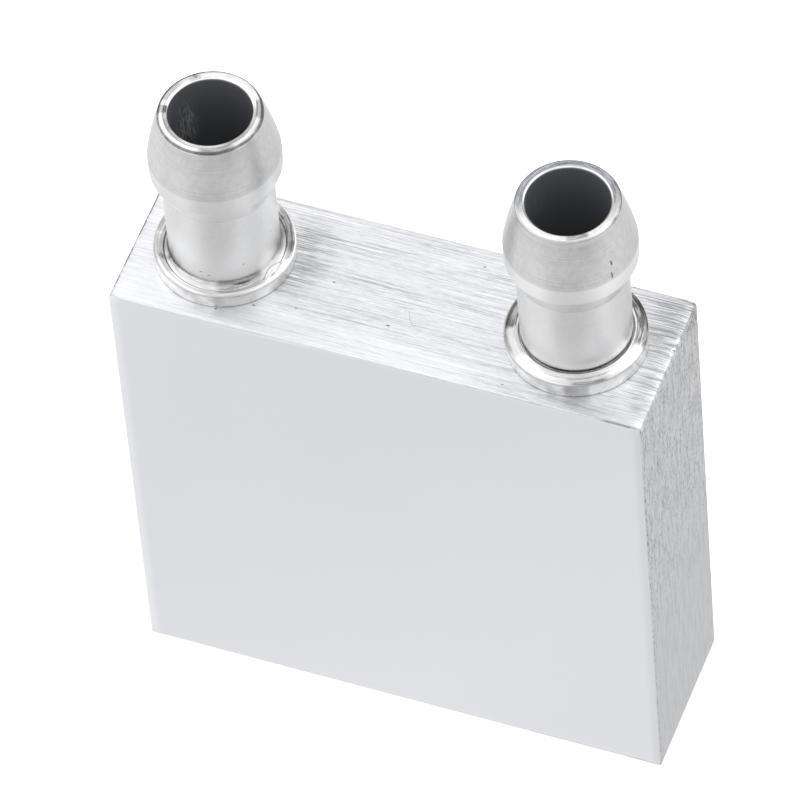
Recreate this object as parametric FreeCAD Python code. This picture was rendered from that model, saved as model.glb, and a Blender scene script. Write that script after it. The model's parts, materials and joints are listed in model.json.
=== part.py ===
"""Liquid cooling cold plate: an extruded aluminium block with two hose barbs.

Coolant enters one barb, runs down a ribbed chamber, crosses under the middle web and
climbs the other chamber to the second barb. The wide front and back faces take the heat.

Frame, in millimetres: X along the width, Y through the thickness with the front face at -Y,
Z up. The origin is the middle of the bottom face, and the barbs stand up from the top face.
"""

import FreeCAD, Part
import math
import os

# ---- block, an extrusion along Z
block_width = 40.0
block_thickness = 12.0
block_height = 40.0
edge_break = 0.2  # chamfer on the outside edges

# ---- coolant chambers inside the block
face_wall = 1.8  # metal between coolant and each wide face
side_wall = 2.4
web_thickness = 2.2  # between the two chambers
chamber_corner = 0.8
crossover_height = 6.0  # opening under the web, above the bottom plate
rib_thickness = 0.9
rib_height = 1.9
rib_pitch = 2.5
rib_setback = 3.0  # from each end plate to the ends of the ribs

# ---- end plates, brazed into pockets in both ends of the extrusion
plate_thickness = 3.0
plate_ledge = 0.6  # the plate stands on a ledge this wide all round the chambers
plate_edge_break = 0.3  # lead-in on the plate's inner rim
braze_gap = 0.05  # between each brazed piece and its seat

# ---- hose barbs, turned; heights count up from the top of the block
barb_inset = 6.75  # from each side of the block to a barb's axis
barb_shift = -0.17  # both barbs stand this far off the middle of the width
barb_setback = 0.25  # and this far behind the middle of the thickness
bore_radius = 3.0
neck_wall = 1.0
crest_rise = 0.75  # how far the crest stands out from the neck
tip_wall = 0.73
neck_length = 8.15  # from the top of the block to the back of the barb
back_length = 1.75
crest_length = 1.45
nose_length = 4.15
nose_bulge = 0.08  # how far the nose stands out from a straight cone
tip_break = 0.12  # chamfers at the mouth, outside and inside
spigot_wall = 0.75
spigot_short = 0.3  # the spigot stops this far short of the plate's inner face
spigot_lead = 0.25

# ---- collars, which differ from one barb to the other
collar_width = 1.1  # how far a collar stands out from the neck
collar_edge = 0.1
dished_height = 1.15  # left collar: dished, with a hollow fillet up to the neck
dish_depth = 0.3
fillet_width = 0.37
fillet_rise = 0.7
fillet_hollow = 0.12  # how far the fillet sinks below its chord
crowned_height = 1.3  # right collar: crowned, with a narrow gap round the neck
crown_rise = 0.2
gap_width = 0.2
gap_depth = 0.4

# ---- sizes that follow from the ones above
chamber_depth = block_thickness - 2 * face_wall
chamber_width = (block_width - 2 * side_wall - web_thickness) / 2
chamber_middle = (chamber_width + web_thickness) / 2
chamber_low = plate_thickness
chamber_high = block_height - plate_thickness
plate_width = block_width - 2 * side_wall + 2 * plate_ledge
plate_depth = chamber_depth + 2 * plate_ledge
plate_corner = chamber_corner + plate_ledge
neck_radius = bore_radius + neck_wall
crest_radius = neck_radius + crest_rise
tip_radius = bore_radius + tip_wall
collar_radius = neck_radius + collar_width
spigot_radius = bore_radius + spigot_wall
spigot_length = plate_thickness - spigot_short
barb_reach = block_width / 2 - barb_inset
barb_places = {"left": barb_shift - barb_reach, "right": barb_shift + barb_reach}


def box_between(x, y, z):
    """A box from three (low, high) pairs."""
    sides = [high - low for low, high in (x, y, z)]
    return Part.makeBox(*sides, FreeCAD.Vector(x[0], y[0], z[0]))


def upright_edges(shape):
    """The shape's straight edges that run along Z."""
    return [e for e in shape.Edges if abs(e.tangentAt(e.FirstParameter).z) > 0.999]


def rounded_prism(middle_x, width, depth, corner, z_low, z_high):
    """An upright prism with round corners, centred on the middle of the thickness."""
    x = (middle_x - width / 2, middle_x + width / 2)
    prism = box_between(x, (-depth / 2, depth / 2), (z_low, z_high))
    return prism.makeFillet(corner, upright_edges(prism))


def rib_places():
    """How far the ribs of one chamber stand from the chamber's own middle."""
    flat_width = chamber_width - 2 * chamber_corner - rib_thickness
    gaps = max(0, math.floor(flat_width / rib_pitch))
    return [(i - gaps / 2) * rib_pitch for i in range(gaps + 1)]


def ribs(middle_x):
    """The ribs of one chamber, standing in from both wide walls."""
    z = (chamber_low + rib_setback, chamber_high - rib_setback)
    wall = chamber_depth / 2
    made = []
    for place in rib_places():
        x = (middle_x + place - rib_thickness / 2, middle_x + place + rib_thickness / 2)
        made.append(box_between(x, (-wall, -wall + rib_height), z))
        made.append(box_between(x, (wall - rib_height, wall), z))
    return made


def chamber(middle_x):
    """The space that one chamber's coolant fills."""
    space = rounded_prism(
        middle_x, chamber_width, chamber_depth, chamber_corner, chamber_low, chamber_high
    )
    return space.cut(ribs(middle_x))


def plate_pocket(z_low, z_high):
    """The pocket that an end plate is brazed into."""
    return rounded_prism(0, plate_width, plate_depth, plate_corner, z_low, z_high)


def block_body():
    """The extruded block: two ribbed chambers and a pocket in each end."""
    outside = box_between(
        (-block_width / 2, block_width / 2),
        (-block_thickness / 2, block_thickness / 2),
        (0, block_height),
    )
    body = outside.makeChamfer(edge_break, outside.Edges)
    crossover = box_between(
        (-web_thickness, web_thickness),
        (-chamber_depth / 2, chamber_depth / 2),
        (chamber_low, chamber_low + crossover_height),
    )
    return body.cut(
        [
            chamber(-chamber_middle),
            chamber(chamber_middle),
            crossover,
            plate_pocket(0, chamber_low),
            plate_pocket(chamber_high, block_height),
        ]
    )


def end_plate(z_outer, z_inner):
    """A plate that closes one end, flush outside and with a lead-in round its inner rim."""
    z_low, z_high = min(z_outer, z_inner), max(z_outer, z_inner)
    plate = rounded_prism(
        0,
        plate_width - 2 * braze_gap,
        plate_depth - 2 * braze_gap,
        plate_corner - braze_gap,
        z_low,
        z_high,
    )
    rim = [e for e in plate.Edges if all(abs(v.Z - z_inner) < 1e-6 for v in e.Vertexes)]
    return plate.makeChamfer(plate_edge_break, rim)


def top_end_plate():
    """The upper plate, with a hole for each barb's spigot."""
    hole_radius = spigot_radius + braze_gap
    holes = [
        Part.makeCylinder(
            hole_radius, plate_thickness, FreeCAD.Vector(x, barb_setback, chamber_high)
        )
        for x in barb_places.values()
    ]
    return end_plate(block_height, chamber_high).cut(holes)


def at(point):
    """A profile point (radius, height) as a vector on the plane of a barb's section."""
    radius, height = point
    return FreeCAD.Vector(radius, 0, height)


def straight_edges(points):
    """Straight edges from each profile point to the next."""
    return [Part.LineSegment(at(a), at(b)).toShape() for a, b in zip(points, points[1:])]


def curved_edge(start, end, bulge):
    """An arc whose middle stands the bulge away from its chord, to the chord's right."""
    run, rise = end[0] - start[0], end[1] - start[1]
    chord = math.hypot(run, rise)
    middle = (
        (start[0] + end[0]) / 2 + bulge * rise / chord,
        (start[1] + end[1]) / 2 - bulge * run / chord,
    )
    return Part.Arc(at(start), at(middle), at(end)).toShape()


def dished_collar():
    """The left collar's edges, from the foot of its wall in to the neck, and where they end."""
    dish = (neck_radius + fillet_width, dished_height - dish_depth)
    neck_foot = (neck_radius, dish[1] + fillet_rise)
    wall = [
        (collar_radius, 0),
        (collar_radius, dished_height - collar_edge),
        (collar_radius - collar_edge, dished_height),
        dish,
    ]
    return straight_edges(wall) + [curved_edge(dish, neck_foot, -fillet_hollow)], neck_foot


def crowned_collar():
    """The right collar's edges, from the foot of its wall in to the neck, and where they end."""
    crown_top = crowned_height + crown_rise
    neck_foot = (neck_radius, crown_top - gap_depth)
    wall = [
        (collar_radius, 0),
        (collar_radius, crowned_height - collar_edge),
        (collar_radius - collar_edge, crowned_height),
        (neck_radius + gap_width, crown_top),
        (neck_radius + gap_width, neck_foot[1]),
        neck_foot,
    ]
    return straight_edges(wall), neck_foot


def barb(middle_x, collar):
    """A turned hose barb: spigot, collar, neck, crest and nose, bored right through."""
    collar_edges, neck_foot = collar
    crest_low = neck_length + back_length
    crest_high = crest_low + crest_length
    tip = crest_high + nose_length
    spigot = [
        (bore_radius, -spigot_length),
        (spigot_radius - spigot_lead, -spigot_length),
        (spigot_radius, spigot_lead - spigot_length),
        (spigot_radius, 0),
        (collar_radius, 0),
    ]
    stem = [
        neck_foot,
        (neck_radius, neck_length),
        (crest_radius, crest_low),
        (crest_radius, crest_high),
    ]
    mouth = [
        (tip_radius, tip - tip_break),
        (tip_radius - tip_break, tip),
        (bore_radius + tip_break, tip),
        (bore_radius, tip - tip_break),
        (bore_radius, -spigot_length),
    ]
    nose = curved_edge(stem[-1], mouth[0], nose_bulge)
    outline = straight_edges(spigot) + collar_edges + straight_edges(stem) + [nose]
    section = Part.Face(Part.Wire(outline + straight_edges(mouth)))
    turned = section.revolve(FreeCAD.Vector(), FreeCAD.Vector(0, 0, 1), 360)
    turned.translate(FreeCAD.Vector(middle_x, barb_setback, block_height))
    return turned


parts = {
    "block_body": block_body(),
    "top_end_plate": top_end_plate(),
    "bottom_end_plate": end_plate(0, chamber_low),
    "left_hose_barb": barb(barb_places["left"], dished_collar()),
    "right_hose_barb": barb(barb_places["right"], crowned_collar()),
}

os.makedirs("parts", exist_ok=True)
for name, shape in parts.items():
    shape.exportStep(f"parts/{name}.step")
    print(name, "valid", shape.isValid(), "solids", len(shape.Solids), "volume", round(shape.Volume, 1))
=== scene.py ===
import json
import math

import bpy
from mathutils import Matrix, Vector


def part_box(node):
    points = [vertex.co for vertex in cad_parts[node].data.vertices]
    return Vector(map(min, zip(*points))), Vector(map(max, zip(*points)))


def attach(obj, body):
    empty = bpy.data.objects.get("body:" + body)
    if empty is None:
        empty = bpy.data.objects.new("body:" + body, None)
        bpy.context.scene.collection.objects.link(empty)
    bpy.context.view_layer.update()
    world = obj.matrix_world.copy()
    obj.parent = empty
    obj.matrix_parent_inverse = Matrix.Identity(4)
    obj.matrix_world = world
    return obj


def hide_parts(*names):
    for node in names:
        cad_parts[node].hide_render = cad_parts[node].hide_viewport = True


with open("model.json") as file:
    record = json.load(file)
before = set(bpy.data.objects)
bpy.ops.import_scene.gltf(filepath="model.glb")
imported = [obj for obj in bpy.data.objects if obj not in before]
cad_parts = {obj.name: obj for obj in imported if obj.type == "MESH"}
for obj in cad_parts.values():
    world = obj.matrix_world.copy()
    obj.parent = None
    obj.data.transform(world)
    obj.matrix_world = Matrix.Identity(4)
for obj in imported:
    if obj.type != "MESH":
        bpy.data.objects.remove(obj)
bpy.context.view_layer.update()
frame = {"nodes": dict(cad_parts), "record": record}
mm = 0.001
mounts = {mount["name"]: mount for mount in frame["record"]["mounts"]}
blockLow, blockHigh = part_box("block_body")
ground = blockHigh.z  # the barbs' heights count up from here
print("frame loaded:", sorted(frame["nodes"]))


# ---- helpers for modelling

def deselectAll():
    bpy.ops.object.select_all(action="DESELECT")


def useOnly(piece):
    deselectAll()
    piece.select_set(True)
    bpy.context.view_layer.objects.active = piece


def newPiece(name):  # call it straight after a primitive is added
    piece = bpy.context.object
    piece.name = piece.data.name = name
    bpy.ops.object.transform_apply(location=True, rotation=True, scale=True)
    return piece


def edit(mode):
    bpy.ops.object.mode_set(mode="EDIT")
    bpy.ops.mesh.select_mode(type=mode)


def leaveEdit():
    bpy.ops.object.mode_set(mode="OBJECT")


def pick(piece, mode, wanted):  # into edit mode, with what is wanted selected
    edit(mode)
    bpy.ops.mesh.select_all(action="DESELECT")
    leaveEdit()
    points = piece.data.vertices
    if mode == "VERT":
        for point in points:
            point.select = wanted(point.co)
    else:
        for edge in piece.data.edges:
            edge.select = wanted(*(points[end].co for end in edge.vertices))
    edit(mode)


def weigh(piece, name, weightAt):  # a vertex group whose weight depends on the place
    group = piece.vertex_groups.new(name=name)
    for point in piece.data.vertices:
        weight = weightAt(point.co)
        if weight > 0:
            group.add([point.index], min(weight, 1), "REPLACE")


def fade(value, zeroAt, oneAt):  # a smooth step from 0 to 1
    share = min(max((value - zeroAt) / (oneAt - zeroAt), 0), 1)
    return share * share * (3 - 2 * share)


def applyAll(piece):
    useOnly(piece)
    for name in [modifier.name for modifier in piece.modifiers]:
        bpy.ops.object.modifier_apply(modifier=name)


def roughen(piece, group, grain, depth, keep=1.0, seed=0):
    # sinks the surface along its normals by a noise with grains of that length, width and height
    texture = bpy.data.textures.new(group, "CLOUDS")
    texture.noise_scale = 1
    texture.noise_depth = 3
    texture.noise_type = "SOFT_NOISE"
    carrier = bpy.data.objects.new(group, None)
    bpy.context.scene.collection.objects.link(carrier)
    carrier.scale = grain
    carrier.location = (seed * 7 * mm, seed * 3 * mm, seed * 5 * mm)
    bpy.context.view_layer.update()
    modifier = piece.modifiers.new(group, "DISPLACE")
    modifier.texture = texture
    modifier.texture_coords = "OBJECT"
    modifier.texture_coords_object = carrier
    modifier.direction = "NORMAL"
    modifier.vertex_group = group
    modifier.mid_level = keep
    modifier.strength = depth
    applyAll(piece)
    bpy.data.objects.remove(carrier)


def push(piece, group, distance, direction="NORMAL"):  # moves a group by its weights
    modifier = piece.modifiers.new(group, "DISPLACE")
    modifier.vertex_group = group
    modifier.direction = direction
    modifier.strength = distance
    modifier.mid_level = 0
    applyAll(piece)


def cutAway(piece, cutter):  # and the cutter is used up
    modifier = piece.modifiers.new("cut", "BOOLEAN")
    modifier.operation = "DIFFERENCE"
    modifier.solver = "EXACT"
    modifier.object = cutter
    applyAll(piece)
    bpy.data.objects.remove(cutter)


# ---- the block: body and both end plates, sanded flush after brazing

blockLook = {
    "edgeRound": 0.1 * mm,
    "edgeSteps": 3,
    "cuts": {"x": 56, "y": 150, "z": 110},
    "longEdge": 5 * mm,  # the cuts go across straight edges longer than this
    "straight": 0.99,
    "loopInset": 0.13 * mm,  # loops that keep the faces flat up to their edges
    "flat": 0.02 * mm,  # a point this near to a face's plane belongs to the face
    "ends": {"grain": (9 * mm, 0.3 * mm, 9 * mm), "depth": 0.016 * mm, "keep": 0.8},
    "sides": {"grain": (0.45 * mm, 0.45 * mm, 3 * mm), "depth": 0.016 * mm, "keep": 0.8},
    "burrs": {"grain": (2 * mm, 0.2 * mm, 2 * mm), "depth": 0.24 * mm, "keep": 0.7},
    "nicks": {"grain": (2 * mm, 0.4 * mm, 2 * mm), "depth": 0.1 * mm, "seed": 1},
    "leftBurrs": 0.25,  # as a share of the ones on the right
    "rim": (0.14 * mm, 0.09 * mm),  # in from an edge, where its wear begins and where it is full
    "wideEdge": 0.09 * mm,  # how far the front rim is cut down at the left
    "wideFade": (-2 * mm, -17 * mm),
    "holeClearance": 0.05 * mm,
    "holeSides": 96,
    "holeReach": 1.2,  # times the plate's thickness
    "weld": 0.001 * mm,
    "smoothAngle": 35,
}


def cutLong(piece, axis, cuts):
    def runsAlong(a, b):
        step, look = b - a, blockLook
        length = abs(step[axis])
        return length > look["longEdge"] and length > look["straight"] * step.length

    pick(piece, "EDGE", runsAlong)
    bpy.ops.mesh.subdivide(number_cuts=cuts)
    leaveEdit()


def addLoops(inset):  # one loop on each side of the active block, just inside its edges
    for axis in range(3):
        for place in (blockLow[axis] + inset, blockHigh[axis] - inset):
            point, normal = [0, 0, 0], [0, 0, 0]
            point[axis], normal[axis] = place, 1
            edit("FACE")
            bpy.ops.mesh.select_all(action="SELECT")
            bpy.ops.mesh.bisect(plane_co=point, plane_no=normal)
            leaveEdit()


def coolantSpace():  # what the block's body leaves free between the two plates
    low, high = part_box("top_end_plate")
    low.z, high.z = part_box("bottom_end_plate")[1].z, low.z
    deselectAll()
    bpy.ops.mesh.primitive_cube_add(size=1, location=(low + high) / 2, scale=high - low)
    space = newPiece("coolantSpace")
    walls = frame["nodes"]["block_body"].copy()
    walls.data = walls.data.copy()
    walls.parent = None
    bpy.context.scene.collection.objects.link(walls)
    useOnly(walls)
    edit("VERT")
    bpy.ops.mesh.select_all(action="SELECT")
    bpy.ops.mesh.remove_doubles(threshold=blockLook["weld"])
    leaveEdit()
    cutAway(space, walls)
    return space


def makeBlock(spigotRadius):
    look = blockLook
    deselectAll()
    middle = (blockLow + blockHigh) / 2
    bpy.ops.mesh.primitive_cube_add(size=1, location=middle, scale=blockHigh - blockLow)
    block = newPiece("block")
    edit("EDGE")
    bpy.ops.mesh.select_all(action="SELECT")
    bpy.ops.mesh.bevel(offset=look["edgeRound"], segments=look["edgeSteps"], affect="EDGES")
    leaveEdit()
    for axis, name in enumerate("xyz"):
        cutLong(block, axis, look["cuts"][name])
    addLoops(look["loopInset"])
    top, side, front = blockHigh.z, blockHigh.x, blockLow.y
    flat, (begins, full) = look["flat"], look["rim"]

    def alongTopRim(p):  # the short top edges, where the belt meets and leaves the metal
        return fade(abs(p.x), side - begins, side - full) * fade(p.z, top - begins, top - full)

    def alongFrontRim(p):
        onEdge = float(p.y < front + full and p.z > top - full)
        return onEdge * fade(p.x, *look["wideFade"])

    weigh(block, "ends", lambda p: float(p.z > top - flat or p.z < flat))
    weigh(block, "sides", lambda p: float(abs(p.x) > side - flat))
    weigh(block, "burrs", lambda p: alongTopRim(p) * (1 if p.x > 0 else look["leftBurrs"]))
    weigh(block, "nicks", alongTopRim)
    weigh(block, "frontRim", alongFrontRim)
    for group in ("ends", "sides", "burrs", "nicks"):
        roughen(block, group, **look[group])
    push(block, "frontRim", -look["wideEdge"])
    cutAway(block, coolantSpace())
    plateLow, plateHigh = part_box("top_end_plate")
    for name in ("left_bore", "right_bore"):
        x, y, _ = mounts[name]["pos_m"]
        deselectAll()
        bpy.ops.mesh.primitive_cylinder_add(
            vertices=look["holeSides"], radius=spigotRadius + look["holeClearance"],
            depth=(plateHigh.z - plateLow.z) * look["holeReach"],
            location=(x, y, (plateLow.z + plateHigh.z) / 2))
        cutAway(block, newPiece("spigotHole"))
    block.vertex_groups.clear()
    useOnly(block)
    bpy.ops.object.shade_smooth_by_angle(angle=math.radians(look["smoothAngle"]))
    print("block made:", len(block.data.polygons), "faces")
    return block


# ---- the hose barbs, turned on a lathe; heights count up from the top of the block

barbLook = {
    "turns": 256,
    "spigotWall": 0.75 * mm,
    "spigotLead": 0.25 * mm,
    "tipWall": 0.73 * mm,
    "neckRound": 0.12 * mm,
    "crestRound": 0.05 * mm,
    "noseBulge": 0.08 * mm,
    "noseSteps": 14,
    "lipFlare": 0.02 * mm,  # what the lip's foot and the mouth's edge stand out by
    "crownRound": 0.05 * mm,
    "mouthRound": 0.04 * mm,
    "mouthDepth": 0.6 * mm,  # below this the bore is straight
    "weld": 0.002 * mm,
    "smoothAngle": 24,
    "left": {
        "lipDrop": 0.03 * mm,  # how far the lip falls from its crown to its outer edge
        "lipCrown": 0.30 * mm,  # from the bore out to the crown
        "lipOuter": 0.1 * mm,
        "lipInner": 0.06 * mm,
    },
    "right": {
        "lipDrop": 0.06 * mm,
        "lipCrown": 0.16 * mm,
        "lipOuter": 0.22 * mm,
        "lipInner": 0.09 * mm,
    },
}


def bend(start, end, bulge, steps):  # an arc that stands the bulge out to its chord's right
    run, rise = end[0] - start[0], end[1] - start[1]
    chord = math.hypot(run, rise)
    points = []
    for step in range(1, steps + 1):
        share = step / steps
        out = 4 * bulge * share * (1 - share) / chord
        points.append((start[0] + run * share + out * rise, start[1] + rise * share - out * run))
    return points


def roundCorners(corners, steps=6):  # a corner is (radius, height) or (radius, height, rounding)
    outline = []
    for i, corner in enumerate(corners):
        here = Vector(corner[:2])
        if len(corner) < 3 or i in (0, len(corners) - 1):
            outline.append(tuple(here))
            continue
        before = Vector(corners[i - 1][:2]) - here
        after = Vector(corners[i + 1][:2]) - here
        start = here + before.normalized() * min(corner[2], before.length / 2)
        end = here + after.normalized() * min(corner[2], after.length / 2)
        for step in range(steps + 1):
            t = step / steps
            outline.append(tuple(start * (1 - t) ** 2 + here * 2 * t * (1 - t) + end * t ** 2))
    return outline


collarLook = {
    "edgeRound": 0.05 * mm,
    "edgeSteps": 3,
    "ridgeSteps": 18,
    "filletSteps": 12,
    "left": {
        "wallTop": 1.06 * mm,
        "groove": (0.37 * mm, 0.85 * mm),  # out from the neck, and its height
        "ridgeFoot": (0.03 * mm, 0.05 * mm),  # out and up from the groove
        "bulge": 0.13 * mm,
        "hollow": 0.12 * mm,
    },
    "right": {
        "wallTop": 1.14 * mm,
        "crownTop": 1.46 * mm,
        "gap": 0.11 * mm,
        "crownFlat": 0.05 * mm,
        "crownBreak": 0.04 * mm,
        "bulge": 0.09 * mm,
        "gapShift": (0.02 * mm, -0.06 * mm, 0),
        "wallShift": (-0.06 * mm, 0, 0),
        "gapFrom": 0.1 * mm,  # out from the neck
        "wallFrom": 0.6 * mm,
        "wallBelow": 1.45 * mm,
        "gapBelow": 2 * mm,
        "fixedBelow": 0.5 * mm,
    },
    "curl": {
        "angle": -18,
        "radius": 4.5 * mm,
        "length": 1.15 * mm,
        "width": 0.24 * mm,
        "height": 0.13 * mm,
        "lean": 0.12 * mm,
        "soft": 0.55,
        "zone": (0.5 * mm, 1.6 * mm),  # the heights that it can lift
    },
}


def collarWall(radius, top, inner):  # up the wall and round its edge, towards the inner point
    corners = [(radius, 0), (radius, top, collarLook["edgeRound"]), inner]
    return roundCorners(corners, collarLook["edgeSteps"])[:-1]


def leftCollar(collarRadius, neckRadius, neckFoot):
    # a rounded ridge, a fine groove, then a hollow fillet up to the neck
    look = collarLook["left"]
    groove = (neckRadius + look["groove"][0], look["groove"][1])
    ridgeFoot = (groove[0] + look["ridgeFoot"][0], groove[1] + look["ridgeFoot"][1])
    outline = collarWall(collarRadius, look["wallTop"], ridgeFoot)
    outline += bend(outline[-1], ridgeFoot, look["bulge"], collarLook["ridgeSteps"])
    outline.append(groove)
    neck = (neckRadius, neckFoot)
    return outline + bend(groove, neck, -look["hollow"], collarLook["filletSteps"])


def rightCollar(collarRadius, neckRadius, neckFoot):
    # crowned, with a narrow gap round the neck
    look = collarLook["right"]
    inner, top = neckRadius + look["gap"], look["crownTop"]
    outline = collarWall(collarRadius, look["wallTop"], (inner, top))
    crown = (inner + look["crownFlat"], top)
    outline += bend(outline[-1], crown, look["bulge"], collarLook["ridgeSteps"])
    return outline + [(inner, top - look["crownBreak"]), (inner, neckFoot), (neckRadius, neckFoot)]


def raiseCurl(barb, x, y):  # a lens of metal that the tool left lying on the left collar's ridge
    look = collarLook["curl"]
    angle = math.radians(look["angle"])
    low, high = look["zone"]

    def share(p):
        east, north = p.x - x, p.y - y
        along = (math.atan2(north, east) - angle) * look["radius"] / look["length"]
        across = (math.hypot(east, north) - look["radius"] + look["lean"] * along) / look["width"]
        inside = 1 - along * along - across * across
        near = ground + low < p.z < ground + high
        return fade(inside, 0, look["soft"]) if near and inside > 0 else 0

    weigh(barb, "curl", share)
    push(barb, "curl", look["height"], "Z")
    barb.vertex_groups.clear()


def offsetGap(barb, x, y, neckRadius):  # the right collar was turned a little off the axis
    look = collarLook["right"]
    gapInner, gapOuter = neckRadius + look["gapFrom"], neckRadius + look["wallFrom"]

    def radius(p):
        return math.hypot(p.x - x, p.y - y)

    def wall(p):
        return radius(p) > gapOuter and p.z < ground + look["wallBelow"]

    def gap(p):
        return gapInner < radius(p) <= gapOuter and p.z < ground + look["gapBelow"]

    for wanted, shift in ((wall, look["wallShift"]), (gap, look["gapShift"])):
        pick(barb, "VERT", lambda p: wanted(p) and p.z > ground + look["fixedBelow"])
        bpy.ops.transform.translate(value=shift)
        leaveEdit()


def span(mount):  # the heights at which a mount begins and ends
    middle, half = mount["pos_m"][2], mount["dims"]["length_mm"] * mm / 2
    return middle - half - ground, middle + half - ground


def makeBarb(side):
    look, lip = barbLook, barbLook[side]
    low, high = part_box(f"{side}_hose_barb")
    x, y = (low.x + high.x) / 2, (low.y + high.y) / 2
    tip, spigotEnd = high.z - ground, low.z - ground
    bore = mounts[f"{side}_bore"]["dims"]["r_mm"] * mm
    grip, crest = mounts[f"{side}_hose_grip"], mounts[f"{side}_barb_crest"]
    neckRadius, crestRadius = grip["dims"]["r_mm"] * mm, crest["dims"]["r_mm"] * mm
    neckFoot, neckTop = span(grip)
    crestLow, crestHigh = span(crest)
    spigot, tipRadius = bore + look["spigotWall"], bore + look["tipWall"]
    collar = leftCollar if side == "left" else rightCollar

    outline = roundCorners([
        (bore, spigotEnd), (spigot - look["spigotLead"], spigotEnd),
        (spigot, spigotEnd + look["spigotLead"]), (spigot, 0)])
    outline += collar((high.x - low.x) / 2, neckRadius, neckFoot)
    outline += roundCorners([
        (neckRadius, neckFoot), (neckRadius, neckTop, look["neckRound"]),
        (crestRadius, crestLow, look["crestRound"]), (crestRadius, crestHigh)])[1:]
    lipFoot = (tipRadius + look["lipFlare"], tip - lip["lipDrop"] - lip["lipOuter"])
    outline += bend((crestRadius, crestHigh), lipFoot, look["noseBulge"], look["noseSteps"])
    outline += roundCorners([
        lipFoot, (tipRadius, tip - lip["lipDrop"], lip["lipOuter"]),
        (bore + lip["lipCrown"], tip, look["crownRound"]),
        (bore + look["lipFlare"], tip - lip["lipInner"], look["mouthRound"]),
        (bore, tip - look["mouthDepth"]), (bore, spigotEnd)])[1:]

    deselectAll()
    bpy.ops.mesh.primitive_plane_add(size=mm, location=(x, y, ground))
    barb = newPiece(f"{side}Barb")
    edit("VERT")
    bpy.ops.mesh.select_all(action="SELECT")
    bpy.ops.mesh.merge(type="CENTER")
    bpy.ops.transform.translate(value=(outline[0][0], 0, outline[0][1]))
    for here, there in zip(outline, outline[1:]):
        step = (there[0] - here[0], 0, there[1] - here[1])
        bpy.ops.mesh.extrude_region_move(TRANSFORM_OT_translate={"value": step})
    bpy.ops.mesh.select_all(action="SELECT")
    bpy.ops.mesh.spin(steps=look["turns"], angle=math.tau, center=(x, y, ground), axis=(0, 0, 1))
    bpy.ops.mesh.select_all(action="SELECT")
    bpy.ops.mesh.remove_doubles(threshold=look["weld"])
    bpy.ops.mesh.normals_make_consistent(inside=False)
    leaveEdit()
    if side == "left":
        raiseCurl(barb, x, y)
    else:
        offsetGap(barb, x, y, neckRadius)
    useOnly(barb)
    bpy.ops.object.shade_smooth_by_angle(angle=math.radians(look["smoothAngle"]))
    print(side, "barb made:", len(barb.data.polygons), "faces")
    return barb


# ---- materials, written as sums on sockets

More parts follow.
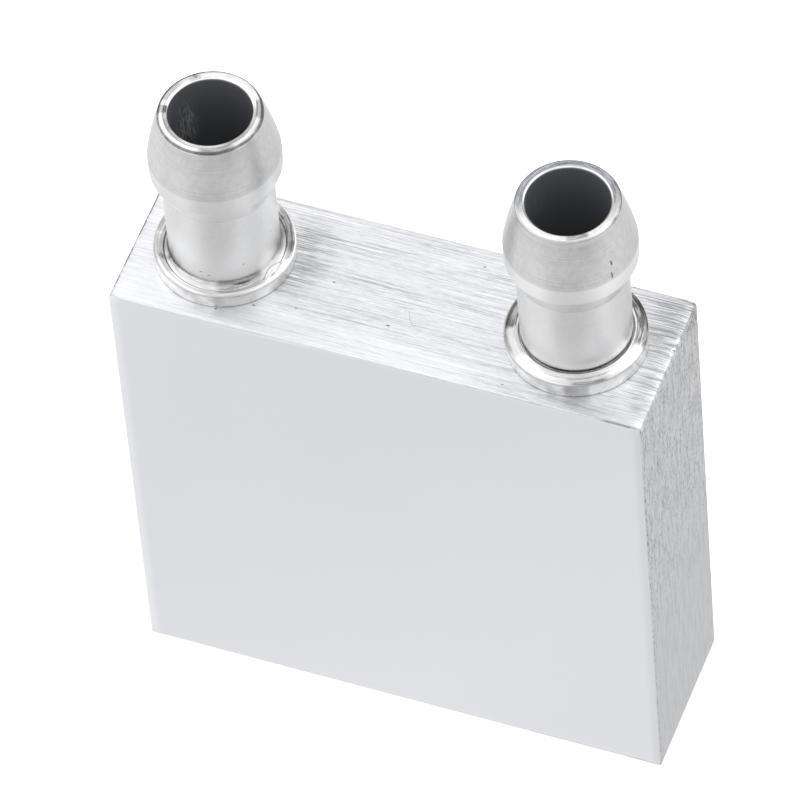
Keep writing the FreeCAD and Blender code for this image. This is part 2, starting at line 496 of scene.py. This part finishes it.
class Wire:
    def __init__(self, tree, socket=None):
        self.tree, self.socket = tree, socket

    def node(self, kind, settings, sockets, out=0):
        node = self.tree.nodes.new(kind)
        for key, value in settings.items():
            setattr(node, key, value)
        for key, value in sockets.items():
            if isinstance(value, Wire):
                self.tree.links.new(value.socket, node.inputs[key])
            else:
                node.inputs[key].default_value = value
        return Wire(self.tree, node.outputs[out] if node.outputs else None)

    def math(self, operation, first, second=0.0):
        return self.node("ShaderNodeMath", {"operation": operation}, {0: first, 1: second})

    def __add__(self, other):
        return self.math("ADD", self, other)

    __radd__ = __add__

    def __sub__(self, other):
        return self.math("SUBTRACT", self, other)

    def __rsub__(self, other):
        return self.math("SUBTRACT", other, self)

    def __mul__(self, other):
        return self.math("MULTIPLY", self, other)

    __rmul__ = __mul__

    def __truediv__(self, other):
        return self.math("DIVIDE", self, other)

    def __pow__(self, other):
        return self.math("POWER", self, other)

    def __abs__(self):
        return self.math("ABSOLUTE", self)

    def orElse(self, other):
        return self.math("MAXIMUM", self, other)

    def hypot(self, other):
        return (self * self + other * other) ** 0.5

    def clamp(self):
        return self.node("ShaderNodeClamp", {}, {"Value": self})

    def fade(self, zeroAt, oneAt):  # a smooth step, from 0 up to 1 or from 1 down to 0
        if zeroAt < oneAt:
            ends = {"From Min": zeroAt, "From Max": oneAt}
        else:
            ends = {"From Min": oneAt, "From Max": zeroAt, "To Min": 1.0, "To Max": 0.0}
        settings = {"interpolation_type": "SMOOTHSTEP"}
        return self.node("ShaderNodeMapRange", settings, {"Value": self, **ends})

    def fadeAlong(self, zeroAt, oneAt):  # the same, with both ends in millimetres
        return self.fade(zeroAt * mm, oneAt * mm)

    def tone(self, zeroAt, oneAt, level):  # a fade that ends at that level
        return self.fade(zeroAt, oneAt) * level

    def atLeast(self, low):  # what ran from 0 to 1 runs from low to 1
        return low + (1 - low) * self

    def vector(self, operation, value, out=0):
        settings = {"operation": operation}
        return self.node("ShaderNodeVectorMath", settings, {0: self, 1: value}, out)

    def noise(self, size, detail=3.0, roughness=0.55):  # with grains of that size along X, Y and Z
        place = self.vector("MULTIPLY", tuple(1 / (length * mm) for length in size))
        return self.node("ShaderNodeTexNoise", {}, {
            "Vector": place, "Scale": 1.0, "Detail": detail, "Roughness": roughness})

    def noises(self, kinds):
        return {name: self.noise(*kind) for name, kind in kinds.items()}

    def spot(self, centre, size, soft=0.5):  # 1 inside an ellipsoid, 0 outside it
        offset = self.vector("SUBTRACT", tuple(length * mm for length in centre))
        scaled = offset.vector("MULTIPLY", tuple(1 / (length * mm) for length in size))
        return scaled.vector("LENGTH", (0, 0, 0), "Value").fade(1.0, 1.0 - soft)

    def spots(self, marks):
        found = 0.0
        for centre, size in marks:
            found = self.spot(centre, size) + found
        return found

    def mixColours(self, first, second):
        return self.node("ShaderNodeMix", {"data_type": "RGBA"}, {0: self, 6: first, 7: second}, 2)

    def axis(self, letter):
        return self.node("ShaderNodeSeparateXYZ", {}, {0: self}, "XYZ".index(letter))

    def finish(self, colour, roughness, height, strength, depth, metallic=1.0):
        normal = self.node("ShaderNodeBump", {}, {
            "Strength": strength, "Distance": depth * mm, "Height": height})
        shader = self.node("ShaderNodeBsdfPrincipled", {}, {
            "Base Color": colour, "Roughness": roughness, "Metallic": metallic, "Normal": normal})
        self.node("ShaderNodeOutputMaterial", {}, {"Surface": shader})


def blend(level, share, other):
    return level * (1 - share) + share * other


def newMaterial(name):
    material = bpy.data.materials.new(name)
    material.use_nodes = True
    material.node_tree.nodes.clear()
    start = Wire(material.node_tree)
    return material, start, start.node("ShaderNodeTexCoord", {}, {}, "Object")


def grey(level, tint=(1, 1, 1)):
    return tuple(level * share for share in tint) + (1,)


cool = (0.978, 0.99, 1.024)
warm = (1.0, 0.998, 0.996)

# In all the looks below, a noise is the size of its grains in millimetres, its detail and its
# roughness. A fade is where it is 0 and where it is 1, and a third number is the level it ends at.
# Bump is strength and depth. A spot is its centre and its half widths in millimetres.

faceLook = {
    "light": 0.97, "shade": 0.86, "rough": 0.26, "roughGrain": 0.08, "bump": (0.04, 0.02),
    "middle": 20, "slope": (-26, 26), "cloudShare": 0.2,
    "noises": {"cloud": ((13, 13, 17), 1), "grain": ((0.3, 0.3, 7),)},
}


def smoothFace():  # painted light: a little lighter from the upper left to the lower right, a gradient standing in for the reflection's change across the face
    material, start, place = newMaterial("smoothAluminium")
    look = faceLook
    noises = place.noises(look["noises"])
    slope = place.axis("X") - place.axis("Z") + look["middle"] * mm
    share = blend(slope.fadeAlong(*look["slope"]), look["cloudShare"], noises["cloud"])
    colour = share.mixColours(grey(look["shade"], cool), grey(look["light"], cool))
    roughness = look["rough"] + look["roughGrain"] * noises["grain"]
    start.finish(colour, roughness, noises["grain"], *look["bump"])
    return material


burrTeeth = ((30, 0.16, 30), 4, 0.75)  # shared, so that the burr goes on over the edge

beltLook = {
    "light": 0.96, "shade": 0.3, "rough": 0.22, "roughFine": 0.2, "bump": (0.8, 0.03),
    "noises": {
        "grooves": ((2.5, 0.035, 3), 2, 0.6),  # too fine to see one by one
        "fine": ((1.8, 0.06, 3), 3, 0.6),
        "long": ((12, 0.09, 15), 4, 0.7),
        "broad": ((8, 0.8, 11), 2),
        "dashes": ((0.6, 0.12, 3), 3, 0.65),
        "gaps": ((30, 1.1, 30), 2),
        "nicks": ((9, 0.5, 9),),
        "teeth": burrTeeth,
    },
    "relief": {"long": 0.35, "fine": 0.35, "grooves": 0.6},
    "base": 0.27, "streaks": 1.35, "longDark": (0.5, 0.66, 0.5), "fineDark": (0.5, 0.7, 0.42),
    "broad": (0.3, 0.7), "broadLow": 0.2, "dashes": 0.55, "longPale": (0.44, 0.34, 0.2),
    "leftFade": (-17, -11), "leftLow": 0.6,  # painted light: paler towards the left end
    # painted light: paler towards the front edge, left of x 6 to 12 mm
    "frontFade": (-2, -4.5), "frontFadeAlong": (12, 6), "frontPale": 0.4,
    "backFade": (5.3, 5.9), "backLong": (0.35, 0.6, 0.16),
    # painted reflection: darker patches where the top face mirrors the barbs, right of the left
    # collar and at the right end
    "darkZones": [
        ((-8.0, 1.4, 40), (3.0, 4.6, 9)), ((-8.4, 1.0, 40), (2.0, 3.0, 9)),
        ((19.0, 3.2, 40), (4.8, 6.0, 9)), ((19.4, 3.8, 40), (2.6, 3.6, 9)),
        ((19.6, -3.0, 40), (1.7, 3.2, 9))],
    "zoneBase": 0.06, "zoneFine": (0.4, 0.62, 0.2), "zoneLong": (0.45, 0.6, 0.1),
    "rightEnd": {
        "bite": 0.5, "fade": (19.85, 20.08), "gaps": (0.42, 0.56, 0.5), "gapsLow": 0.1,
        "front": (-4.5, -1), "frontLow": 0.2, "back": (5.5, 2.5), "teeth": (0.5, 0.38, 0.75),
    },
    "leftEnd": {"fade": (-19.77, -19.86), "low": 0.35, "nicks": (0.4, 0.5, 0.9)},
    # painted shade: the front rim is darkened from the middle rightwards to dim its highlight,
    # more past x 17 mm
    "frontEnd": {
        "fade": (-5.88, -5.93), "middle": (-4, 2), "middleDark": 0.07,
        "corner": (16.9, 17.5), "cornerDark": 0.5,
    },
    "pitDark": 1.4,
    "pits": [
        ((-0.08, -2.6, 40), (0.16, 0.09, 1)), ((4.65, 4.44, 40), (0.13, 0.07, 1)),
        ((-5.09, -0.07, 40), (0.14, 0.07, 1)), ((-12.24, -4.85, 40), (0.1, 0.1, 1)),
        ((-9.8, -3.75, 40), (0.16, 0.07, 1)), ((-6.83, -3.09, 40), (0.13, 0.07, 1)),
        ((-17.2, 2.2, 40), (0.1, 0.05, 1)), ((9.4, -5.1, 40), (0.12, 0.05, 1)),
        ((19.85, 1.45, 40), (0.14, 0.08, 0.3)), ((19.8, 5.8, 40), (0.16, 0.12, 0.3))],
    "scratch": {  # a curved one
        "centre": (3.6, -0.2), "radius": 2.77, "near": ((1.25, -1.52, 40), (0.95, 0.95, 1)),
        "width": (0.05, 0.02), "dark": 0.3,
    },
}


def beltedEnds():  # belt marks run along the width
    material, start, place = newMaterial("beltedAluminium")
    look, noises = beltLook, place.noises(beltLook["noises"])
    x, y = place.axis("X"), place.axis("Y")
    fine, long, teeth = (noises[name] for name in ("fine", "long", "teeth"))
    streaks = long.tone(*look["longDark"]).orElse(fine.tone(*look["fineDark"]))
    streaks = streaks * noises["broad"].fade(*look["broad"]).atLeast(look["broadLow"])
    shade = streaks * look["streaks"] + look["base"]
    shade = shade + look["dashes"] * (noises["dashes"] - 0.5) - long.tone(*look["longPale"])
    # painted light: paler towards the left end and towards the front edge
    shade = shade * x.fadeAlong(*look["leftFade"]).atLeast(look["leftLow"])
    pale = look["frontPale"] * y.fadeAlong(*look["frontFade"])
    shade = shade * (1 - pale * x.fadeAlong(*look["frontFadeAlong"]))
    # painted reflection of the barbs in the top face
    zoned = look["zoneBase"] + fine.tone(*look["zoneFine"]) + long.tone(*look["zoneLong"])
    shade = shade + place.spots(look["darkZones"]) * zoned
    shade = shade + y.fadeAlong(*look["backFade"]) * long.tone(*look["backLong"])

    end = look["rightEnd"]
    burr = (x + teeth * (end["bite"] * mm)).fadeAlong(*end["fade"])
    burr = burr * (end["gapsLow"] + noises["gaps"].tone(*end["gaps"]))
    burr = burr * y.fadeAlong(*end["front"]).atLeast(end["frontLow"]) * y.fadeAlong(*end["back"])
    shade = shade * (1 - burr) + burr * teeth.tone(*end["teeth"])
    end = look["leftEnd"]
    shade = shade + x.fadeAlong(*end["fade"]) * (end["low"] + noises["nicks"].tone(*end["nicks"]))
    # painted shade along the front rim
    end = look["frontEnd"]
    along = end["middleDark"] * x.fadeAlong(*end["middle"])
    along = along + end["cornerDark"] * x.fadeAlong(*end["corner"])
    shade = shade + y.fadeAlong(*end["fade"]) * along

    pits = place.spots(look["pits"])
    scratch = look["scratch"]
    east, north = x - scratch["centre"][0] * mm, y - scratch["centre"][1] * mm
    offLine = abs(east.hypot(north) - scratch["radius"] * mm)
    scratched = offLine.fadeAlong(*scratch["width"]) * place.spot(*scratch["near"])
    dark = (shade + pits * look["pitDark"] + scratched * scratch["dark"]).clamp()
    colour = dark.mixColours(grey(look["light"], cool), grey(look["shade"], cool))
    height = 0 - pits
    for name, share in look["relief"].items():
        height = height + noises[name] * share
    start.finish(colour, look["rough"] + look["roughFine"] * fine, height, *look["bump"])
    return material


sideLook = {
    "light": 0.77, "shade": 0.32, "rough": 0.36, "roughStreak": 0.12, "bump": (0.35, 0.03),
    "noises": {
        "fleck": ((0.2, 0.13, 0.5), 4, 0.62),
        "streak": ((0.2, 0.14, 5), 4, 0.6),
        "drift": ((0.5, 0.36, 2.6), 3, 0.6),
        "teeth": burrTeeth,
    },
    "relief": {"fleck": 0.5, "streak": 0.3, "drift": 0.4},
    "high": (8, 29),  # the saw's marks grow between these heights
    "flecks": (0.48, 0.64), "flecksLow": 0.06, "flecksGrow": 0.7,
    "driftLow": 0.1, "driftGrow": 1.5, "streaks": (0.4, 0.75, 0.2),
    "drifts": (0.42, 0.66, 0.34), "driftsLow": 0.4, "base": 0.19, "paler": 0.14,
    "badCorner": ((20, 5.2, 39.4), (1, 1.8, 1.6)), "cornerFlecks": (0.42, 0.56, 0.8),
    "frontEdge": (-5.7, -5.9), "frontFlecks": (0.5, 0.6, 0.4),
    "burr": {
        "bite": 0.6, "fade": (40.0, 40.12), "back": (5.5, 2.5), "teeth": (0.62, 0.5, 0.7),
        "light": 0.95,
    },
}


def grainedSides():  # drawn along the height, and mottled where the saw left it
    material, start, place = newMaterial("grainedAluminium")
    look, noises = sideLook, place.noises(sideLook["noises"])
    y, z = place.axis("Y"), place.axis("Z")
    fleck, streak, drift, teeth = noises.values()
    high = z.fadeAlong(*look["high"])
    flecks = fleck.fade(*look["flecks"]) * (look["flecksLow"] + look["flecksGrow"] * high)
    shade = flecks * (look["driftLow"] + look["driftGrow"] * drift) + streak.tone(*look["streaks"])
    shade = shade + drift.tone(*look["drifts"]) * high.atLeast(look["driftsLow"])
    shade = shade + look["base"] - look["paler"] * high
    shade = shade + fleck.tone(*look["cornerFlecks"]) * place.spot(*look["badCorner"])
    shade = shade + fleck.tone(*look["frontFlecks"]) * y.fadeAlong(*look["frontEdge"])
    burr = look["burr"]  # the belted end's burr folds over the edge
    under = (z + teeth * (burr["bite"] * mm)).fadeAlong(*burr["fade"])
    under = under * y.fadeAlong(*burr["back"])
    dark = (shade * (1 - under) + under * teeth.tone(*burr["teeth"])).clamp()
    light = under.mixColours(grey(look["light"], cool), grey(burr["light"], cool))
    colour = dark.mixColours(light, grey(look["shade"], cool))
    height = sum(noises[name] * share for name, share in look["relief"].items())
    start.finish(colour, look["rough"] + look["roughStreak"] * streak, height, *look["bump"])
    return material


turnedLook = {
    "satin": 0.7, "satinShade": 0.605, "worn": 0.8, "polish": 0.88, "wall": 0.99,
    "wallShade": 0.68, "mirror": 0.89, "mirrorShade": 0.71, "skin": (0.27, 0.285, 0.33, 1),
    "dirt": 0.1, "stain": 0.14, "inside": 0.085, "insideTint": (0.95, 0.99, 1.12),
    "roughSatin": 0.31, "roughMirror": 0.15, "roughMottle": 0.08, "roughInside": 0.7,
    "bump": (0.12, 0.02), "reliefMottle": 0.5,
    "noises": {
        "rings": ((30, 30, 0.07), 3, 0.6),
        "mottle": ((0.4, 0.4, 0.6), 4, 0.6),
        "smears": ((1.1, 0.13, 0.3), 3, 0.6),
        "drifts": ((2.2, 1.5, 1.5), 3),
        "scrapes": ((0.14, 0.14, 0.8), 4, 0.7),
    },
    "ringLean": 0.7, "unrolledAt": 4, "bandSoft": 0.05, "sectorCore": 0.6,
    # where each finish is found: heights above the block, and distances from the axis
    "collar": (1.75, 1.5), "collarWall": (5.02, 5.08), "lipDepth": 0.15, "bore": (0.03, 0.01),
    "neck": (8.2, 8.1), "neckDull": (3.6, 6.2), "neckDullness": 0.3,
    "land": (9.82, 9.92), "wear": (11.62, 11.12), "front": (-90, 95),
    "satinShare": (0.42, 0.58), "satinMottle": 0.4, "crown": (0.36, 0.6), "crownDrifts": 0.3,
    "wallShare": (0.38, 0.6), "wallMottle": 0.2, "skinShare": (0.4, 0.6), "skinLow": 0.55,
    # fine lines, mostly painted shade along grooves and edges: their widths as fades, and how dark
    # they are
    "groove": (1.5, 0.8), "grooveBelow": (1.45, 1.38), "curlSpot": ((1.1, 1.1, 2), 0.8),
    "curlDetour": 0.3, "curlCover": 0.54, "foot": (0.09, 0.04), "footDark": 0.55,
    "wallLine": (0.07, 0.03), "wallLineFrom": (4.92, 4.98), "wallLineDark": 0.4,
    "lipLine": (0.09, 0.05), "lipLineLow": 0.4, "crownLine": (0.045, 0.02), "crownLineDark": 0.5,
    "crestLine": (11.36, 0.05, 0.02), "crestLineDark": 0.12,
    "neckLine": (8.17, 0.06, 0.03), "neckLineDark": 0.4,
    "speckle": (0.4, 0.58), "speckleLow": 0.5, "specks": (0.3, 0.5), "scrapes": (0.46, 0.6),
    "scrapesSoft": 0.7,
    # painted reflections and shade as patches: angle and reach in degrees, from and to as
    # distances from the axis, level
    "left": {
        "land": 0.65, "taper": 1.0, "lipStart": 15.15, "lipLine": 3.71, "lipLevel": 0.85,
        "crownLine": 3.32, "groove": 4.38, "grooveWidth": 0.035, "wallTop": 1.04,
        "specks": [
            ((-13.6, -3.75, 42.35), (0.16, 0.1, 0.07)), ((-13.0, -3.75, 42.1), (0.2, 0.1, 0.05)),
            ((-10.72, -2.7, 43.03), (0.08, 0.1, 0.06)), ((-9.45, -0.3, 44.4), (0.07, 0.08, 0.06)),
            ((-15.55, 2.95, 55.5), (0.2, 0.16, 0.2))],
        "dullPatch": (25, 75, 3.9, 4.33, 1),
        "lipPatches": [
            (-142, 40, 3.0, 3.3, 0.7), (-167, 7, 3.1, 3.75, 0.55), (-12, 46, 3.0, 3.3, 0.65),
            (22, 16, 3.3, 3.75, 0.8), (-62, 24, 3.36, 3.8, 0.75), (129, 9, 3.15, 3.7, 0.4),
            (164, 18, 3.25, 3.7, 0.5), (150, 72, 3.6, 3.8, 0.9), (24, 40, 3.6, 3.8, 0.75)],
        "collarPatches": [
            (-181, 9, 4.35, 5.0, 0.6), (-158, 17, 4.4, 5.0, 0.55), (-138, 14, 4.35, 4.75, 0.5),
            (32, 30, 4.42, 4.95, 0.95), (-54, 28, 3.95, 4.3, 0.7), (8, 12, 4.6, 5.0, 0.6)],
        "wallPatches": [(-60, 22, 5, 5.2, 0.3)],
        "scraped": ((-16.0, 1.6, 51.2), (1.0, 1.5, 3.4)), "scrapeLevel": 0.27,
    },
    "right": {
        "land": 1.0, "taper": 0.55, "lipStart": 15.28, "lipLine": 3.76, "lipLevel": 0.15,
        "crownLine": 3.16, "groove": 4.07, "grooveWidth": 0.05, "wallTop": 1.12,
        "specks": [
            ((17.04, -2.25, 51.75), (0.1, 0.1, 0.55)), ((16.94, -2.01, 52.8), (0.09, 0.09, 0.42)),
            ((16.94, -1.68, 53.6), (0.08, 0.08, 0.2))],
        "skinPatch": (114, 128, 3.17, 3.75, 1),
        "lipPatches": [
            (-59, 16, 3.1, 3.5, 0.75), (117, 9, 3.2, 3.7, 0.5), (-66, 95, 3.0, 3.08, 0.6),
            (-66, 100, 3.6, 3.8, 0.5), (18, 40, 3.15, 3.75, 0.4)],
        "collarPatches": [
            (24, 32, 4.28, 5.05, 1.0), (-178, 18, 4.25, 5.0, 1.0), (-60, 24, 4.55, 4.98, 0.38),
            (-60, 17, 4.86, 5.02, 0.45), (60, 24, 4.4, 5.05, 0.6), (-150, 26, 4.2, 5.05, 0.4)],
        "wallPatches": [(-71, 12, 5, 5.2, 0.4)],
        "scraped": ((10.4, 1.2, 52.6), (0.5, 1.2, 1.5)), "scrapeLevel": 0.12,
    },
}


def turned(side):
    material, start, place = newMaterial(f"{side}TurnedAluminium")
    look, own, kinds = turnedLook, turnedLook[side], turnedLook["noises"]
    x, y, _ = mounts[f"{side}_bore"]["pos_m"]
    boreRadius = mounts[f"{side}_bore"]["dims"]["r_mm"]
    centred = place.vector("SUBTRACT", (x, y, ground))
    east, north, height = (centred.axis(letter) for letter in "XYZ")
    radius = east.hypot(north)
    leaning = height + radius * look["ringLean"]
    ringPlace = start.node("ShaderNodeCombineXYZ", {}, {0: east, 1: north, 2: leaning})
    around = start.math("ARCTAN2", east, 0 - north) * (look["unrolledAt"] * mm)
    unrolled = start.node("ShaderNodeCombineXYZ", {}, {0: around, 1: radius, 2: height})
    rings, mottle = ringPlace.noise(*kinds["rings"]), centred.noise(*kinds["mottle"])
    smears, drifts = unrolled.noise(*kinds["smears"]), unrolled.noise(*kinds["drifts"])

    def sector(angle, reach):  # 1 round that angle seen from above, 0 past the reach
        turn = math.radians(angle)
        toward = (east * math.cos(turn) + north * math.sin(turn)) / radius
        core = reach * look["sectorCore"]
        return toward.fade(math.cos(math.radians(reach)), math.cos(math.radians(core)))

    def band(low, high):
        soft = look["bandSoft"]
        return radius.fadeAlong(low - soft, low) * radius.fadeAlong(high + soft, high)

    def patches(*marks):
        found = 0.0
        for angle, reach, low, high, level in marks:
            found = sector(angle, reach) * band(low, high) * level + found
        return found

    def line(value, at, outer, inner):
        return abs(value - at * mm).fadeAlong(outer, inner)

    onCollar = height.fadeAlong(*look["collar"])
    onWall = radius.fadeAlong(*look["collarWall"])
    onLip = height.fadeAlong(own["lipStart"], own["lipStart"] + look["lipDepth"])
    inside = radius.fadeAlong(*(boreRadius + edge for edge in look["bore"]))
    mirror = onCollar.orElse(onLip) * (1 - onWall)
    if side == "left":  # its hollow fillet is dull on the right
        mirror = mirror * (1 - patches(own["dullPatch"]) * onCollar)
    towardFront = sector(*look["front"])
    neckWear = (1 - look["neckDullness"] * height.fadeAlong(*look["neckDull"])) * look["worn"]
    wear = blend(own["taper"], height.fadeAlong(*look["neck"]), neckWear)
    wear = blend(wear, height.fadeAlong(*look["land"]), own["land"])
    wear = wear * height.fadeAlong(*look["wear"])  # by the hose
    share = blend(rings, look["satinMottle"], mottle).fade(*look["satinShare"])
    satin = share.mixColours(grey(look["satinShade"], warm), grey(look["satin"], warm))
    polished = wear.mixColours(satin, grey(look["polish"], warm))
    share = blend(smears, look["crownDrifts"], drifts).fade(*look["crown"])
    ridge = share.mixColours(grey(look["mirrorShade"], warm), grey(look["mirror"], warm))
    if side == "right":  # painted reflection: most of the mouth is painted blue-grey, where it mirrors something dark
        skin = smears.fade(*look["skinShare"]).atLeast(look["skinLow"])
        ridge = (skin * patches(own["skinPatch"]) * onLip).mixColours(ridge, look["skin"])
    share = blend(drifts, look["wallMottle"], mottle).fade(*look["wallShare"])
    wall = share.mixColours(grey(look["wallShade"], warm), grey(look["wall"], warm))
    bright = mirror.mixColours(onWall.mixColours(polished, wall), ridge)

    groovePlace, atCurl = radius, 0.0
    if side == "left":  # the groove goes round the curl and fades beside it
        curl = collarLook["curl"]
        angle, reach = math.radians(curl["angle"]), curl["radius"] / mm
        centre = (math.cos(angle) * reach, math.sin(angle) * reach, 1)
        atCurl = centred.spot(centre, *look["curlSpot"])
        groovePlace = radius + atCurl * (look["curlDetour"] * mm)
    outer, level = look["groove"]
    groove = line(groovePlace, own["groove"], outer * own["grooveWidth"], own["grooveWidth"])
    groove = groove * height.fadeAlong(*look["grooveBelow"]) * (1 - look["curlCover"] * atCurl)
    wallLine = line(height, own["wallTop"], *look["wallLine"]) * towardFront
    wallLine = wallLine * radius.fadeAlong(*look["wallLineFrom"]) * look["wallLineDark"]
    lipLine = line(radius, own["lipLine"], *look["lipLine"]) * onLip * own["lipLevel"]
    lipLine = lipLine * (look["lipLineLow"] + mottle)
    crownLine = line(radius, own["crownLine"], *look["crownLine"]) * onLip * towardFront
    # dark residue and painted shade in the groove, painted contact shade at the foot, painted
    # shade along the wall, lip, crown, crest and neck lines, and real specks
    dirt = groove * level + height.fadeAlong(*look["foot"]) * look["footDark"]
    dirt = dirt + wallLine + lipLine + crownLine * look["crownLineDark"]
    dirt = dirt + line(height, *look["crestLine"]) * look["crestLineDark"]
    dirt = dirt + line(height, *look["neckLine"]) * mottle * look["neckLineDark"]
    dirt = (dirt + place.spots(own["specks"]) * mottle.fade(*look["specks"])).clamp()
    # painted reflections: dark patches on the collar, lip and collar wall where they mirror dark
    # surroundings
    paintedReflections = patches(*own["collarPatches"]) * onCollar * (1 - onWall)
    paintedReflections = paintedReflections + patches(*own["lipPatches"]) * onLip
    paintedReflections = paintedReflections * smears.fade(*look["speckle"]).atLeast(look["speckleLow"])
    paintedReflections = (paintedReflections + patches(*own["wallPatches"]) * onCollar * onWall).clamp()
    outside = paintedReflections.mixColours(bright, grey(look["stain"]))
    outside = dirt.mixColours(outside, grey(look["dirt"]))

    scrapes = centred.noise(*kinds["scrapes"]).fade(*look["scrapes"])
    scrapes = scrapes * place.spot(*own["scraped"], look["scrapesSoft"])
    # painted shade: the bore is near black and not metal, standing in for the shade deep in the
    # hole
    inner = grey(look["inside"], look["insideTint"])
    inner = scrapes.mixColours(inner, grey(own["scrapeLevel"]))
    colour = inside.mixColours(outside, inner)
    roughness = blend(look["roughSatin"], mirror, look["roughMirror"])
    roughness = blend(roughness + look["roughMottle"] * mottle, inside, look["roughInside"])
    relief = blend(rings, look["reliefMottle"], mottle)
    start.finish(colour, roughness, relief, *look["bump"], 1 - inside)
    return material


dressLook = {"endsFrom": 0.2, "sidesFrom": 0.5}  # how far a face's normal leans that way


def dressBlock(block):
    for made in (smoothFace(), beltedEnds(), grainedSides()):
        block.data.materials.append(made)
    for face in block.data.polygons:
        normal = face.normal
        if abs(normal.z) > dressLook["endsFrom"]:
            face.material_index = 1
        elif abs(normal.x) > dressLook["sidesFrom"]:
            face.material_index = 2


# ---- camera, floor and light

cameraLook = {
    "azimuth": 24.395, "elevation": 51.903, "roll": 5.320, "distance": 0.68238,
    "target": (-0.867 * mm, 0, 27.971 * mm),
    "lens": 428.69, "sensor": 36, "near": 0.01, "far": 100,
}


def direction(azimuth, elevation):
    a, e = math.radians(azimuth), math.radians(elevation)
    return Vector((math.sin(a) * math.cos(e), -math.cos(a) * math.cos(e), math.sin(e)))


def makeCamera():
    look = cameraLook
    back = direction(look["azimuth"], look["elevation"])
    right = (-back).cross(Vector((0, 0, 1))).normalized()
    down = (-back).cross(right)
    roll = math.radians(look["roll"])
    across = math.cos(roll) * right + math.sin(roll) * down
    upward = math.sin(roll) * right - math.cos(roll) * down
    data = bpy.data.cameras.new("camera")
    data.lens = look["lens"]
    data.sensor_width = look["sensor"]
    data.clip_start, data.clip_end = look["near"], look["far"]
    camera = bpy.data.objects.new("camera", data)
    bpy.context.scene.collection.objects.link(camera)
    turn = Matrix((across, upward, back)).transposed().to_4x4()
    place = Vector(look["target"]) + back * look["distance"]
    camera.matrix_world = Matrix.Translation(place) @ turn
    bpy.context.scene.camera = camera


floorLook = {"sides": 96, "radius": 4, "level": 0.88, "rough": 0.9}


def makeFloor():
    look = floorLook
    deselectAll()
    bpy.ops.mesh.primitive_circle_add(
        vertices=look["sides"], radius=look["radius"], fill_type="NGON", location=(0, 0, 0))
    floor = newPiece("floor")
    material, start, _ = newMaterial("paleFloor")
    shader = start.node("ShaderNodeBsdfPrincipled", {}, {
        "Base Color": grey(look["level"]), "Roughness": look["rough"]})
    start.node("ShaderNodeOutputMaterial", {}, {"Surface": shader})
    floor.data.materials.append(material)
    floor.visible_glossy = False  # the studio's lower half stands for it in reflections


studioLook = {
    "sky": 1.08, "skyFrom": (13, 30), "ground": 1.07, "groundFrom": (-9, -18),
    "frontHorizon": 0.92, "backHorizon": 0.42, "back": (195, 0), "backReach": (66, 50),
    "seen": 1.0,
    "cards": [  # place as azimuth and elevation, outer and inner reach in degrees, level
        {"at": (18, -50), "reach": (40, 15), "level": 0.67},
        {"at": (-85, -54), "reach": (30, 15), "level": 0.9},
        {"at": (-90, -33), "reach": (19, 8), "level": 1.13},
        {"at": (-95, 50), "reach": (36, 14), "level": 1.46},
        {"at": (135, 50), "reach": (36, 14), "level": 1.75},
        {"at": (58, -26), "reach": (26, 12), "level": 0.95},
        {"at": (140, -36), "reach": (24, 10), "level": 0.98},
        {"at": (125, -54), "reach": (26, 12), "level": 0.82},
        {"at": (155, -54), "reach": (22, 10), "level": 0.84},
        {"at": (48, 3), "reach": (20, 11), "level": 0.06},
    ],
    "strip": {"height": -6, "outer": 8, "inner": 3, "level": 0.45},
    "lamp": {"energy": 20, "size": 1.6, "height": 1.4},
}


def makeStudio():
    look = studioLook
    world = bpy.data.worlds.new("studio")
    bpy.context.scene.world = world
    world.use_nodes = True
    world.node_tree.nodes.clear()
    start = Wire(world.node_tree)
    way = start.node("ShaderNodeTexCoord", {}, {}, "Generated")
    height = way.axis("Z")

    def sines(*angles):
        return (math.sin(math.radians(angle)) for angle in angles)

    def toward(place, reach):
        ends = (math.cos(math.radians(angle)) for angle in reach)
        return way.vector("DOT_PRODUCT", tuple(direction(*place)), "Value").fade(*ends)

    rise = look["backHorizon"] - look["frontHorizon"]
    level = toward(look["back"], look["backReach"]) * rise + look["frontHorizon"]
    level = blend(level, height.fade(*sines(*look["skyFrom"])), look["sky"])
    level = blend(level, height.fade(*sines(*look["groundFrom"])), look["ground"])
    strip = look["strip"]
    middle, outer, inner = sines(strip["height"], strip["outer"], strip["inner"])
    level = blend(level, abs(height - middle).fade(outer, inner), strip["level"])
    for card in look["cards"]:
        level = blend(level, toward(card["at"], card["reach"]), card["level"])
    rays = start.node("ShaderNodeLightPath", {}, {}, "Is Camera Ray")
    shader = start.node("ShaderNodeBackground", {}, {
        "Color": grey(1.0), "Strength": blend(level, rays, look["seen"])})
    start.node("ShaderNodeOutputWorld", {}, {"Surface": shader})

    lamp = bpy.data.lights.new("overhead", "AREA")
    lamp.shape = "DISK"
    lamp.size = look["lamp"]["size"]
    lamp.energy = look["lamp"]["energy"]
    overhead = bpy.data.objects.new("overhead", lamp)
    overhead.location = (0, 0, look["lamp"]["height"])
    overhead.visible_glossy = False
    bpy.context.scene.collection.objects.link(overhead)
    bpy.context.scene.view_settings.view_transform = "Standard"


makeCamera()
makeFloor()
makeStudio()
print("studio made")

spigotRadius = mounts["left_bore"]["dims"]["r_mm"] * mm + barbLook["spigotWall"]
block = makeBlock(spigotRadius)
dressBlock(block)
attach(block, "root")
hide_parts("block_body", "top_end_plate", "bottom_end_plate")

for side in ("left", "right"):
    barb = makeBarb(side)
    barb.data.materials.append(turned(side))
    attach(barb, "root")
    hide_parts(f"{side}_hose_barb")

print("finished")
